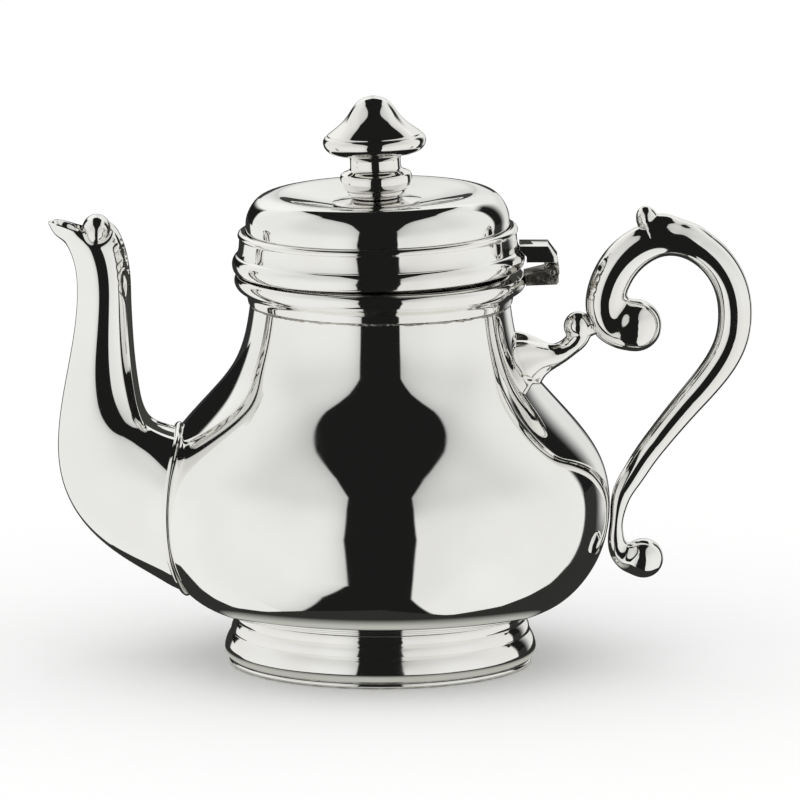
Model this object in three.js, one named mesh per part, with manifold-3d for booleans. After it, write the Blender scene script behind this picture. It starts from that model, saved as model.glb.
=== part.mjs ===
// Hinged silver teapot: a spun pear-shaped body on a moulded foot, a swan-neck spout made of two pressed
// halves, a cast scroll handle and a hinged lid with a turned finial. Millimetres, +Z up, spout towards -X.
import * as THREE from "three";
import { mergeVertices } from "three/addons/utils/BufferGeometryUtils.js";
import Module from "manifold-3d";

const wasm = await Module();
wasm.setup();

// ---------------------------------------------------------------- driving dimensions
const GAP = 0.32;                // clearance between pieces that are soldered, screwed or laid together
const SPIN_STEPS = 40;           // facets round a large spun piece
const SMALL_STEPS = 20;          // facets round a small turned piece
const SHEET = 1.0;               // thickness of the spun and pressed sheet
const REACH = 180;               // further than any part of the pot, for cutting blocks

const BELLY_RADIUS = 68.9;
const BELLY_HEIGHT = 46.7;
const NECK_RADIUS = 38.9;
const RIM_HEIGHT = 117.9;        // top of the mouth, where the lid sits

const FOOT_TOP_RADIUS = 43.6;
const FOOT_WIDEST = 47.4;
const FOOT_BASE_RADIUS = 45.6;
const FOOT_WIRE_HEIGHT = 1.5;
const FOOT_TOP = 15.6;
const GROOVES = { heights: [13.2, 9.6, 5.3], halfWidth: 0.8, depth: 0.25 };   // they part the foot's ribs
const FOOT_WALL = 1.5;

const COLLAR_RADIUS = 43.7;
const COLLAR_BOTTOM = 109.3;

const LID_SEAT = RIM_HEIGHT + 0.4;      // underside of the lid's band
const LID_BAND_RADIUS = 43.9;
const LID_LIP_RADIUS = 41.8;
const LID_DOME_RADIUS = 39.5;
const LID_BAND_TOP = 130.8;
const LID_CREST = { radius: 31, height: 141.6 };
const LID_CENTRE_HEIGHT = 138.4;
const BEZEL_RADIUS = 36.2;
const BEZEL_BOTTOM = 113.0;
const LID_SHIFT = -0.5;          // the closed lid sits this far towards the spout
const LID_TILT = 1.3;            // degrees that the hinge holds its own side of the lid up
const FINIAL_LEAN = 1.0;         // further degrees that the finial leans towards the spout

const FINIAL_TOP = 170.8;
const KNOB_RADIUS = 15.45;
const KNOB_HEIGHT = 157.2;
const FINIAL_PLATE_RADIUS = 13.4;
const STUD_RADIUS = 1.8;
const WASHER = { radius: 6.5, thick: 0.8 };
const NUT = { radius: 4.2, thick: 2.6 };

const PIN = { x: 51.5, z: 119.3, radius: 0.9 };
const PIN_CLEARANCE = 0.12;
const KNUCKLE_RADIUS = 2.1;
const HINGE_HALF_WIDTH = 6.4;
const HINGE_END = 53.4;
const CENTRE_KNUCKLE_HALF = 2.1;

const STRAINER = { height: 46, pitch: 6.0, holeRadius: 1.7, rings: 2, drill: 20 };

// ---------------------------------------------------------------- colours
const SILVER = { color: 0xe6e4de, roughness: 0.06, metalness: 1 };
const SILVER_INSIDE = { color: 0xd2cfc6, roughness: 0.25, metalness: 1 };
const NICKEL = { color: 0xb9b4a6, roughness: 0.35, metalness: 1 };

const v2 = (radius, height) => new THREE.Vector2(radius, height);
const v3 = (x, y, z) => new THREE.Vector3(x, y, z);

const teapot = new THREE.Group();
const bodyAxis = new THREE.Group();     // everything is drawn about the body's own axis, standing on z = 0
const lidGroup = new THREE.Group();     // the lid's spun pieces, tipped about the seat on the spout side
const finialGroup = new THREE.Group();  // the finial, tipped about the middle of the lid
teapot.add(bodyAxis);
bodyAxis.add(lidGroup);
lidGroup.add(finialGroup);
tip(lidGroup, -COLLAR_RADIUS, LID_SEAT, LID_TILT);
tip(finialGroup, 0, LID_CENTRE_HEIGHT, FINIAL_LEAN);
lidGroup.position.x += LID_SHIFT;

// ---------------------------------------------------------------- helpers
/** Turn a group about a line along Y through (x, z), lifting its handle side by an angle in degrees. */
function tip(group, x, z, degrees) {
  group.rotation.y = -THREE.MathUtils.degToRad(degrees);
  group.position.copy(v3(x, 0, z).sub(v3(x, 0, z).applyEuler(group.rotation)));
}

/** Merge shared corners, drop the sliver triangles on the axis, and turn the faces outwards. */
function closed(geometry) {
  geometry.deleteAttribute("normal");
  geometry.deleteAttribute("uv");
  const merged = mergeVertices(geometry, 1e-4);
  const position = merged.attributes.position;
  const kept = [];
  let volume = 0;
  for (let i = 0; i < merged.index.count; i += 3) {
    const [a, b, c] = [0, 1, 2].map((k) => merged.index.getX(i + k));
    if (a === b || b === c || c === a) continue;
    kept.push(a, b, c);
    const [p, q, r] = [a, b, c].map((k) => new THREE.Vector3().fromBufferAttribute(position, k));
    volume += p.dot(q.cross(r));
  }
  if (volume < 0) kept.reverse();
  merged.setIndex(kept);
  return merged;
}

/** Closed geometry to a manifold solid, and back. */
function solid(geometry) {
  const clean = closed(geometry.clone());
  return new wasm.Manifold(new wasm.Mesh({
    numProp: 3,
    vertProperties: new Float32Array(clean.attributes.position.array),
    triVerts: new Uint32Array(clean.index.array),
  }));
}

function fromSolid(manifold) {
  const mesh = manifold.getMesh();
  const geometry = new THREE.BufferGeometry();
  geometry.setAttribute("position", new THREE.BufferAttribute(mesh.vertProperties, 3));
  geometry.setIndex(new THREE.BufferAttribute(mesh.triVerts, 1));
  return geometry;
}

/** Revolve an outline of (radius, height) points about the vertical axis. */
function spin(outline, steps = SPIN_STEPS) {
  const lathe = new THREE.LatheGeometry(outline, steps);
  lathe.rotateX(Math.PI / 2);
  return closed(lathe);
}

/** Revolve a ring section: an outline that returns to its first point. */
const spinRing = (outline, steps) => spin([...outline, outline[0]], steps);

/** The same outline moved sideways by a distance along its own normals (to the left of its direction). */
function offset(outline, distance) {
  return outline.map((point, i) => {
    const before = outline[Math.max(i - 1, 0)];
    const after = outline[Math.min(i + 1, outline.length - 1)];
    const along = after.clone().sub(before).normalize();
    return v2(Math.max(point.x - along.y * distance, 0), point.y + along.x * distance);
  });
}

/** A block between two opposite corners. */
function block(low, high) {
  const size = high.clone().sub(low);
  const box = new THREE.BoxGeometry(size.x, size.y, size.z);
  box.translate(low.x + size.x / 2, low.y + size.y / 2, low.z + size.z / 2);
  return box;
}

/** A cylinder along Y between y0 and y1, centred on (x, z). */
function barrel(x, z, radius, y0, y1, steps = SMALL_STEPS) {
  const cylinder = new THREE.CylinderGeometry(radius, radius, y1 - y0, steps);
  cylinder.translate(x, (y0 + y1) / 2, z);
  return cylinder;
}

/** Skin a row of equal rings of points and close both ends with a fan. */
function loft(rings) {
  const around = rings[0].length;
  const positions = [];
  rings.forEach((ring) => ring.forEach((p) => positions.push(p.x, p.y, p.z)));
  const index = [];
  for (let i = 0; i + 1 < rings.length; i++) {
    for (let j = 0; j < around; j++) {
      const a = i * around + j;
      const b = i * around + ((j + 1) % around);
      index.push(a, b, a + around, b, b + around, a + around);
    }
  }
  [0, rings.length - 1].forEach((end) => {
    const centre = rings[end].reduce((sum, p) => sum.add(p), v3(0, 0, 0)).divideScalar(around);
    const hub = positions.length / 3;
    positions.push(centre.x, centre.y, centre.z);
    for (let j = 0; j < around; j++) {
      const a = end * around + j;
      const b = end * around + ((j + 1) % around);
      index.push(...(end === 0 ? [hub, b, a] : [hub, a, b]));
    }
  });
  const geometry = new THREE.BufferGeometry();
  geometry.setAttribute("position", new THREE.Float32BufferAttribute(positions, 3));
  geometry.setIndex(index);
  return closed(geometry);
}

/** An oval ring in the plane that holds Y and the in-plane direction `across`. */
function ovalRing(centre, across, halfAcross, halfWide, steps) {
  return Array.from({ length: steps }, (_, i) => {
    const angle = (2 * Math.PI * i) / steps;
    const inPlane = across.clone().multiplyScalar(halfAcross * Math.cos(angle));
    return centre.clone().add(inPlane).add(v3(0, halfWide * Math.sin(angle), 0));
  });
}

/** Sweep an oval along a curve in the middle plane. Each station is [x, z, half thickness, half width]. */
function sweep(stations, steps, around, grow = 0) {
  const route = new THREE.CatmullRomCurve3(stations.map(([x, z]) => v3(x, 0, z)), false, "centripetal");
  const sizes = stations.map(([, , halfThick, halfWide]) => v2(halfThick, halfWide));
  const last = stations.length - 1;
  const rings = [];
  for (let i = 0; i <= steps; i++) {
    const t = i / steps;
    const tangent = route.getTangent(t);
    const across = v3(-tangent.z, 0, tangent.x).normalize();
    const station = Math.min(Math.floor(t * last), last - 1);
    const half = sizes[station].clone().lerp(sizes[station + 1], t * last - station);
    rings.push(ovalRing(route.getPoint(t), across, half.x + grow, half.y + grow, around));
  }
  return loft(rings);
}

/** Add a named piece to the pot, or to one of its tipped groups. */
function piece(name, geometry, finish, group = bodyAxis) {
  const mesh = new THREE.Mesh(geometry, new THREE.MeshStandardMaterial(finish));
  mesh.name = name;
  group.add(mesh);
}

const lidPiece = (name, geometry, finish) => piece(name, geometry, finish, lidGroup);
const finialPiece = (name, geometry, finish) => piece(name, geometry, finish, finialGroup);

// ---------------------------------------------------------------- body
const PEAR = [
  v2(47, 16.5), v2(54, 19.0), v2(61.2, 25.2), v2(66.6, 34.5), v2(BELLY_RADIUS, BELLY_HEIGHT),
  v2(66.6, 60.8), v2(60.2, 71.0), v2(50.8, 81.7), v2(43.8, 91), v2(40.4, 100.5), v2(NECK_RADIUS, 110),
];
const UNDERSIDE = [v2(0, 15.6), v2(30, 15.9)];
const BASE_TOP = 24.6;           // where the bowl-shaped base meets the belly
const BELLY_TOP = 71;            // where the belly meets the shoulder

/** Outside of the body from the underside's centre up to the mouth. */
function bodyOutline(steps = 14) {
  return [...UNDERSIDE, ...new THREE.SplineCurve(PEAR).getPoints(steps), v2(NECK_RADIUS, RIM_HEIGHT)];
}

const bodyOuter = bodyOutline();

/** The body as a solid lump, grown outwards, for cutting what is soldered against it. */
function bodyLump(grow) {
  const outline = offset(bodyOuter, -grow);
  outline[0].x = 0;
  return solid(spin([...outline, v2(0, RIM_HEIGHT)]));
}
const bodyClearance = bodyLump(GAP);

/** Strainer holes through the wall behind the spout, in a hexagonal pattern. */
function strainerDrills() {
  const drills = [];
  for (let row = -STRAINER.rings; row <= STRAINER.rings; row++) {
    const across = 2 * STRAINER.rings + 1 - Math.abs(row);
    for (let i = 0; i < across; i++) {
      const y = (i - (across - 1) / 2) * STRAINER.pitch;
      const z = STRAINER.height + row * STRAINER.pitch * Math.sin(Math.PI / 3);
      const drill = new THREE.CylinderGeometry(STRAINER.holeRadius, STRAINER.holeRadius, STRAINER.drill, 8);
      drill.rotateZ(Math.PI / 2);
      drill.translate(-BELLY_RADIUS, y, z);
      drills.push(solid(drill));
    }
  }
  return drills;
}

/** Three spun sections, one above the other: a bowl-shaped base, the belly and the shoulder. */
function buildBody() {
  const inner = offset(bodyOutline(12), SHEET);
  inner[0].x = 0;
  inner[inner.length - 1].y = RIM_HEIGHT;
  const shell = solid(spin([...bodyOuter, ...inner.reverse()]));
  const layer = (low, high) => shell.intersect(solid(block(v3(-REACH, -REACH, low), v3(REACH, REACH, high))));
  const wall = layer(BASE_TOP + GAP, BELLY_TOP);
  const belly = strainerDrills().reduce((pierced, drill) => pierced.subtract(drill), wall);
  piece("body_base", fromSolid(layer(0, BASE_TOP)), SILVER);
  piece("body_belly", fromSolid(belly), SILVER);
  piece("body_shoulder", fromSolid(layer(BELLY_TOP + GAP, REACH)), SILVER);
}

// ---------------------------------------------------------------- foot
/** Moulded foot: a spun ring with four shallow ribs, standing on a wire ring. */
function buildFoot() {
  const bottom = FOOT_WIRE_HEIGHT + GAP;
  const shape = new THREE.SplineCurve([
    v2(FOOT_BASE_RADIUS - 0.2, bottom), v2(FOOT_WIDEST - 0.4, 3.2), v2(FOOT_WIDEST, 5.0),
    v2(46.6, 8.2), v2(45.0, 12.0), v2(FOOT_TOP_RADIUS, FOOT_TOP),
  ]);
  const outer = [v2(FOOT_BASE_RADIUS - 0.2, bottom)];
  for (let i = 1; i <= 10; i++) {
    const point = shape.getPoint(i / 10);
    const grooved = GROOVES.heights.some((height) => Math.abs(point.y - height) < GROOVES.halfWidth);
    const dent = grooved ? GROOVES.depth : 0;
    outer.push(v2(point.x - dent, point.y));
  }
  const inner = shape.getPoints(3).map((point) => v2(point.x - FOOT_WALL, point.y));
  piece("foot_ring", spinRing([...outer, ...inner.reverse()]), SILVER);

  const wire = [
    v2(43.4, 0), v2(45.1, 0), v2(FOOT_BASE_RADIUS, 0.5), v2(FOOT_BASE_RADIUS, 1.0),
    v2(45.2, FOOT_WIRE_HEIGHT), v2(43.4, FOOT_WIRE_HEIGHT),
  ];
  piece("foot_wire", spinRing(wire), SILVER);
}

// ---------------------------------------------------------------- neck collar
function buildCollar() {
  const inside = NECK_RADIUS + GAP;
  const section = [
    v2(inside, COLLAR_BOTTOM), v2(39.7, COLLAR_BOTTOM), v2(40.2, 111.0), v2(41.2, 112.4), v2(42.6, 113.4),
    v2(43.4, 114.6), v2(COLLAR_RADIUS, 116.0), v2(43.4, 117.2), v2(42.8, RIM_HEIGHT), v2(inside, RIM_HEIGHT),
  ];
  const ring = solid(spinRing(section)).subtract(bodyClearance);
  piece("neck_collar", fromSolid(ring), SILVER);
}

// ---------------------------------------------------------------- spout
// Stations from inside the body to the beak: inner edge (x, z), outer edge (x, z), half width.
const SPOUT = [
  [[-46.0, 69.0], [-46.0, 27.0], 29.0],
  [[-58.0, 70.3], [-57.5, 21.6], 28.2],
  [[-65.5, 72.0], [-67.0, 25.8], 24.8],
  [[-69.6, 74.4], [-79.5, 33.4], 19.4],
  [[-71.6, 78.2], [-89.0, 42.2], 14.8],
  [[-72.9, 84.0], [-95.2, 54.0], 11.6],
  [[-74.0, 92.0], [-96.7, 69.0], 9.6],
  [[-74.8, 102.0], [-94.2, 87.0], 8.3],
  [[-75.4, 112.0], [-91.3, 105.0], 7.4],
  [[-75.9, 119.5], [-91.0, 117.0], 7.0],
  [[-77.0, 125.2], [-92.6, 123.8], 6.9],
  [[-78.3, 129.2], [-94.8, 127.8], 7.0],
  [[-79.8, 131.9], [-97.4, 130.0], 7.0],
  [[-81.2, 133.4], [-99.5, 133.2], 6.9],
];
const SPOUT_AROUND = 16;
const BEAD = { wide: 1.6, high: 1.5, innermost: 48 };   // it stands out from the spout and from the body

/** The spout's outside as one skinned tube, grown or shrunk by a distance. */
function spoutTube(grow, stations = SPOUT) {
  const rings = stations.map(([[xi, zi], [xo, zo], halfWide]) => {
    const across = v3(xi - xo, 0, zi - zo);
    const half = across.length() / 2;
    const centre = v3((xi + xo) / 2, 0, (zi + zo) / 2);
    return ovalRing(centre, across.normalize(), half + grow, halfWide + grow, SPOUT_AROUND);
  });
  return loft(rings);
}

const HOOD = { x: -85.0, z: 130.8, halfLong: 4.65, halfHigh: 5.1, halfWide: 7.4, hollowDrop: 2.5 };

/** Ball-shaped hood that closes the handle side of the spout's mouth. */
function hoodLump(grow, drop = 0) {
  const ball = new THREE.SphereGeometry(1, 16, 10);
  ball.scale(HOOD.halfLong + grow, HOOD.halfWide + grow, HOOD.halfHigh + grow);
  ball.translate(HOOD.x, 0, HOOD.z - drop);
  return solid(ball);
}

function buildSpout() {
  const start = SPOUT[0];
  const end = SPOUT[SPOUT.length - 1];
  const before = SPOUT[SPOUT.length - 2];
  const extend = ([x, z], [bx, bz]) => [x + (x - bx), z + (z - bz)];
  const innerStations = [
    [[start[0][0] + 6, start[0][1]], [start[1][0] + 6, start[1][1]], start[2]],
    ...SPOUT,
    [extend(end[0], before[0]), extend(end[1], before[1]), end[2]],
  ];
  const bore = solid(spoutTube(-SHEET, innerStations));
  const tube = solid(spoutTube(0)).subtract(bodyClearance).subtract(bore).subtract(hoodLump(GAP));
  const seam = GAP / 2;          // the two pressed halves meet on the middle plane
  const side = (y0, y1) => solid(block(v3(-REACH, y0, 0), v3(0, y1, REACH)));
  piece("spout_half_near", fromSolid(largest(tube.intersect(side(-REACH, -seam)))), SILVER);
  piece("spout_half_far", fromSolid(largest(tube.intersect(side(seam, REACH)))), SILVER);

  const hood = hoodLump(0).subtract(hoodLump(-SHEET, HOOD.hollowDrop));
  piece("spout_hood", fromSolid(largest(hood)), SILVER);

  // a turned-out bead runs round the joint between spout and body
  const bead = solid(spoutTube(BEAD.wide)).intersect(bodyLump(BEAD.high)).subtract(bodyClearance);
  const ring = bead.subtract(solid(spoutTube(GAP)));
  const leftSide = solid(block(v3(-REACH, -REACH, 0), v3(-BEAD.innermost, REACH, REACH)));
  piece("spout_joint_bead", fromSolid(largest(ring.intersect(leftSide))), SILVER);
}

/** The biggest separate lump of a solid, without stray slivers. */
function largest(manifold) {
  const lumps = manifold.decompose();
  return lumps.reduce((best, lump) => (lump.volume() > best.volume() ? lump : best));
}

// ---------------------------------------------------------------- handle
// Middle line of the scroll, from the upper curl to the lower curl: x, z, half thickness, half width.
const HANDLE = [
  [74.6, 100.2, 5.2, 5.2],
  [70.2, 101.6, 5.6, 5.4],
  [67.6, 107.0, 6.0, 5.6],
  [68.2, 113.4, 6.0, 5.6],
  [71.4, 120.2, 5.9, 5.6],
  [77.2, 125.8, 5.7, 5.6],
  [84.6, 128.6, 5.4, 5.5],
  [92.4, 127.6, 5.2, 5.3],
  [99.8, 122.6, 5.1, 5.2],
  [104.8, 114.6, 5.1, 5.1],
  [106.3, 105.6, 5.1, 5.0],
  [104.9, 96.8, 4.9, 4.8],
  [100.2, 88.2, 4.6, 4.6],
  [92.4, 78.7, 4.2, 4.4],
  [83.7, 68.0, 3.8, 4.1],
  [79.0, 61.6, 3.6, 3.9],
  [75.6, 56.2, 3.4, 3.8],
  [72.7, 51.2, 3.0, 3.6],
  [71.4, 46.2, 2.35, 3.5],
  [70.9, 42.0, 2.0, 3.4],
  [70.8, 38.2, 2.4, 3.5],
  [71.3, 34.6, 2.8, 3.8],
  [73.0, 31.2, 3.0, 4.2],
  [75.8, 29.7, 3.5, 4.7],
  [78.4, 30.6, 4.4, 5.0],
];
// The leaf lies over the top of the scroll like a saddle: the scroll's own section moved a little outwards.
const THUMB_LEAF = [
  [80.4, 129.6, 5.5, 5.4],
  [84.4, 130.6, 5.4, 5.4],
  [88.4, 129.6, 5.3, 5.3],
  [92.6, 128.2, 5.2, 5.3],
  [97.0, 125.5, 5.1, 5.2],
];
const LEAF_CREST = { x: 79.2, z: 134.8, halfLong: 2.4, halfHigh: 3.6, halfWide: 3.2 };
const UPPER_CURL = { x: 76.4, z: 102.2, radius: 7.9, halfWide: 6.4 };
const LOWER_CURL = { x: 79.1, z: 31.2, radius: 5.8, halfWide: 5.4 };

/** The scroll with its two curled ends, grown by a distance. */
function handleLump(grow, steps = 42, around = 10) {
  const curls = [UPPER_CURL, LOWER_CURL].map((curl) => {
    const ball = new THREE.SphereGeometry(curl.radius + grow, 14, 8);
    ball.scale(1, (curl.halfWide + grow) / (curl.radius + grow), 1);
    ball.translate(curl.x, 0, curl.z);
    return solid(ball);
  });
  return curls.reduce((sum, curl) => sum.add(curl), solid(sweep(HANDLE, steps, around, grow)));
}

function buildHandle() {
  const clearance = handleLump(GAP);
  const scroll = handleLump(0).subtract(bodyClearance);      // its lower limb lies flat against the belly
  piece("handle_scroll", fromSolid(largest(scroll)), SILVER);

  const rib = solid(sweep(THUMB_LEAF, 16, 14));
  const crest = new THREE.SphereGeometry(1, 12, 8);
  crest.scale(LEAF_CREST.halfLong, LEAF_CREST.halfWide, LEAF_CREST.halfHigh);
  crest.translate(LEAF_CREST.x, 0, LEAF_CREST.z);
  const leaf = rib.add(solid(crest)).subtract(clearance);
  piece("handle_thumb_leaf", fromSolid(largest(leaf)), SILVER);

  const trumpet = solid(sweep([
    [42.5, 90.6, 10.4, 9.4], [46.2, 91.8, 7.4, 7.2], [49.6, 92.2, 4.8, 5.0], [53.0, 93.4, 3.4, 3.8],
    [56.6, 95.6, 3.1, 3.6], [59.4, 98.6, 3.6, 4.0],
  ], 12, 12));
  const curl = new THREE.SphereGeometry(4.3, 14, 10);
  curl.translate(59.3, 0, 101.7);
  const stub = solid(sweep([[58.6, 99.6, 3.0, 3.4], [63.6, 102.0, 2.4, 3.0]], 2, 10));
  const socket = trumpet.add(solid(curl)).add(stub).subtract(bodyClearance).subtract(clearance);
  piece("handle_upper_socket", fromSolid(largest(socket)), SILVER);
}

// ---------------------------------------------------------------- hinge
/** Side profile in X and Z pushed out along Y between y0 and y1. */
function plate(outline, y0, y1) {
  const shape = new THREE.Shape(outline.map(([x, z]) => v2(x, z)));
  const slab = new THREE.ExtrudeGeometry(shape, { depth: y1 - y0, bevelEnabled: false });
  slab.rotateX(Math.PI / 2);
  slab.translate(0, y1, 0);
  return solid(slab);
}

function buildHinge() {
  const seatRadius = COLLAR_RADIUS + GAP;
  const collarKeepOut = solid(spin([
    v2(0, 105), v2(seatRadius, 105), v2(seatRadius, RIM_HEIGHT + GAP), v2(0, RIM_HEIGHT + GAP),
  ]));
  const bandKeepOut = solid(spin([
    v2(0, 117), v2(LID_BAND_RADIUS + GAP, 117), v2(LID_BAND_RADIUS + GAP, 124),
    v2(LID_LIP_RADIUS + GAP, 126), v2(LID_LIP_RADIUS + GAP, 132), v2(0, 132),
  ]));
  const slot = CENTRE_KNUCKLE_HALF + GAP;
  const pinHole = solid(barrel(PIN.x, PIN.z, PIN.radius + PIN_CLEARANCE, -20, 20, 20));
  const swing = KNUCKLE_RADIUS + GAP;

  const lowerPlate = plate([
    [42, 115.2], [HINGE_END - 0.6, 115.6], [HINGE_END, 116.4], [HINGE_END, PIN.z],
    [PIN.x, PIN.z + KNUCKLE_RADIUS], [PIN.x - 1.6, PIN.z + 0.6], [42, 118.0],
  ], -HINGE_HALF_WIDTH, HINGE_HALF_WIDTH);
  const lowerKnuckle = solid(barrel(PIN.x, PIN.z, KNUCKLE_RADIUS, -HINGE_HALF_WIDTH, HINGE_HALF_WIDTH));
  const centreSlot = solid(block(v3(PIN.x - swing, -slot, 112), v3(60, slot, 125)));
  const lowerHinge = lowerPlate.add(lowerKnuckle);
  const bodyLeaf = lowerHinge.subtract(centreSlot).subtract(collarKeepOut).subtract(pinHole);
  piece("hinge_body_leaf", fromSolid(largest(bodyLeaf)), NICKEL);

  const upperPlate = plate([
    [41, 122.3], [HINGE_END - 0.4, 122.3], [HINGE_END - 0.4, 123.4], [50.2, 127.2], [41, 127.2],
  ], -HINGE_HALF_WIDTH, HINGE_HALF_WIDTH);
  const tongue = plate([
    [PIN.x - KNUCKLE_RADIUS, PIN.z], [PIN.x + KNUCKLE_RADIUS, PIN.z], [PIN.x + KNUCKLE_RADIUS - 0.4, 122.6],
    [PIN.x - KNUCKLE_RADIUS - 0.6, 122.6],
  ], -CENTRE_KNUCKLE_HALF, CENTRE_KNUCKLE_HALF);
  const centre = CENTRE_KNUCKLE_HALF;
  const centreKnuckle = solid(barrel(PIN.x, PIN.z, KNUCKLE_RADIUS, -centre, centre));
  const lidLeaf = upperPlate.add(tongue).add(centreKnuckle).subtract(bandKeepOut).subtract(pinHole);
  piece("hinge_lid_leaf", fromSolid(largest(lidLeaf)), SILVER);

  const pinEnd = HINGE_HALF_WIDTH + 0.4;
  piece("hinge_pin", closed(barrel(PIN.x, PIN.z, PIN.radius, -pinEnd, pinEnd, 20)), NICKEL);
}

// ---------------------------------------------------------------- lid
/** Outside of the lid from its skirt over the rounded shoulder to the sunken centre. */
function lidOutline() {
  const shoulder = new THREE.SplineCurve([
    v2(LID_DOME_RADIUS, LID_BAND_TOP), v2(39.5, 134.0), v2(38.1, 137.6), v2(35.6, 140.5),
    v2(LID_CREST.radius, LID_CREST.height),
  ]).getPoints(6);
  const skirt = v2(LID_DOME_RADIUS - 0.2, LID_SEAT + 0.4);
  return [skirt, ...shoulder, v2(26.6, 140.9), v2(20.5, 139.7), v2(14.4, LID_CENTRE_HEIGHT)];
}

function buildLid() {
  const hole = STUD_RADIUS + GAP;
  const outer = [...lidOutline(), v2(hole, LID_CENTRE_HEIGHT)];
  const inner = offset(outer, SHEET);
  inner[0].y = outer[0].y;
  inner[inner.length - 1].x = hole;
  lidPiece("lid_dome", spinRing([...outer, ...inner.reverse()]), SILVER);

  const inside = LID_DOME_RADIUS + GAP;
  const band = [
    v2(inside, LID_SEAT), v2(43.0, LID_SEAT), v2(43.7, 119.4), v2(LID_BAND_RADIUS, 121.2), v2(43.5, 122.9),
    v2(42.2, 124.6), v2(41.8, 126.6), v2(42.0, 128.2), v2(LID_LIP_RADIUS, 129.2),
    v2(41.4, LID_BAND_TOP - 0.4), v2(inside, LID_BAND_TOP),
  ];
  lidPiece("lid_band", spinRing(band), SILVER);

  const flangeTop = LID_SEAT + 1.6;
  const flangeEdge = LID_DOME_RADIUS - 0.2 - SHEET - GAP;
  const bezel = [
    v2(BEZEL_RADIUS - SHEET, BEZEL_BOTTOM), v2(BEZEL_RADIUS, BEZEL_BOTTOM), v2(BEZEL_RADIUS, LID_SEAT),
    v2(flangeEdge, LID_SEAT), v2(flangeEdge, flangeTop), v2(BEZEL_RADIUS - SHEET, flangeTop),
  ];
  lidPiece("lid_bezel", spinRing(bezel), SILVER_INSIDE);
}

// ---------------------------------------------------------------- finial
function buildFinial() {
  const plateBottom = LID_CENTRE_HEIGHT + 0.4;
  const hole = STUD_RADIUS + GAP;
  const basePlate = [
    v2(hole, plateBottom), v2(FINIAL_PLATE_RADIUS - 0.3, plateBottom),
    v2(FINIAL_PLATE_RADIUS, plateBottom + 0.3), v2(10.5, plateBottom + 0.8), v2(8.2, plateBottom + 1.2),
    v2(hole, plateBottom + 1.2),
  ];
  finialPiece("finial_base_plate", spinRing(basePlate, SMALL_STEPS), SILVER);

  const foot = plateBottom + 1.2 + GAP;
  const boreTop = 155;
  const cap = new THREE.SplineCurve([
    v2(14.0, 159.6), v2(12.6, 160.6), v2(9.9, 162.9), v2(7.7, 165.4), v2(5.9, 168.0), v2(3.4, 170.2),
    v2(0, FINIAL_TOP),
  ]).getPoints(8);
  const collar = [
    v2(6.7, foot), v2(6.7, 141.5), v2(8.9, 142.2), v2(10.2, 142.9), v2(10.8, 144.2), v2(10.8, 145.9),
  ];
  const stem = [v2(10.2, 147.0), v2(8.2, 148.0), v2(7.2, 149.6), v2(7.0, 151.4), v2(7.6, 152.9)];
  const torus = [
    v2(12.2, 153.4), v2(14.2, 154.6), v2(15.2, 156.0), v2(KNOB_RADIUS, KNOB_HEIGHT), v2(15.1, 158.6),
    v2(14.4, 159.3),
  ];
  const knob = [v2(0, boreTop), v2(hole, boreTop), v2(hole, foot), ...collar, ...stem, ...torus, ...cap];
  finialPiece("finial_knob", spin(knob, SMALL_STEPS), SILVER);

  const studBottom = 131.6;
  const stud = new THREE.CylinderGeometry(STUD_RADIUS, STUD_RADIUS, boreTop - GAP - studBottom, 16);
  stud.rotateX(Math.PI / 2);
  stud.translate(0, 0, (boreTop - GAP + studBottom) / 2);
  finialPiece("finial_stud", closed(stud), NICKEL);

  const washerTop = LID_CENTRE_HEIGHT - SHEET - GAP;
  const washerBottom = washerTop - WASHER.thick;
  const washer = [
    v2(hole, washerBottom), v2(WASHER.radius, washerBottom), v2(WASHER.radius, washerTop), v2(hole, washerTop),
  ];
  finialPiece("finial_washer", spinRing(washer, 24), NICKEL);

  const nutTop = washerBottom - GAP;
  const nutBottom = nutTop - NUT.thick;
  const nut = [v2(hole, nutBottom), v2(NUT.radius, nutBottom), v2(NUT.radius, nutTop), v2(hole, nutTop)];
  finialPiece("finial_nut", spinRing(nut, 6), NICKEL);
}

buildBody();
buildFoot();
buildCollar();
buildSpout();
buildHandle();
buildHinge();
buildLid();
buildFinial();

// the origin is the middle of the whole pot's footprint, so the body's axis lies a little towards the spout
const extent = new THREE.Box3().setFromObject(bodyAxis);
bodyAxis.position.x = -(extent.min.x + extent.max.x) / 2;

export default teapot;
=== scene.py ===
"""Looks for the hinged silver teapot: fine spun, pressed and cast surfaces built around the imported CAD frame.

Shapes are drawn in millimetres about the body's own axis, standing on z = 0, and placed by the CAD boxes.
"""

import math

import bmesh
import bpy
import numpy as np
from mathutils import Matrix, Vector, noise


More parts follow.
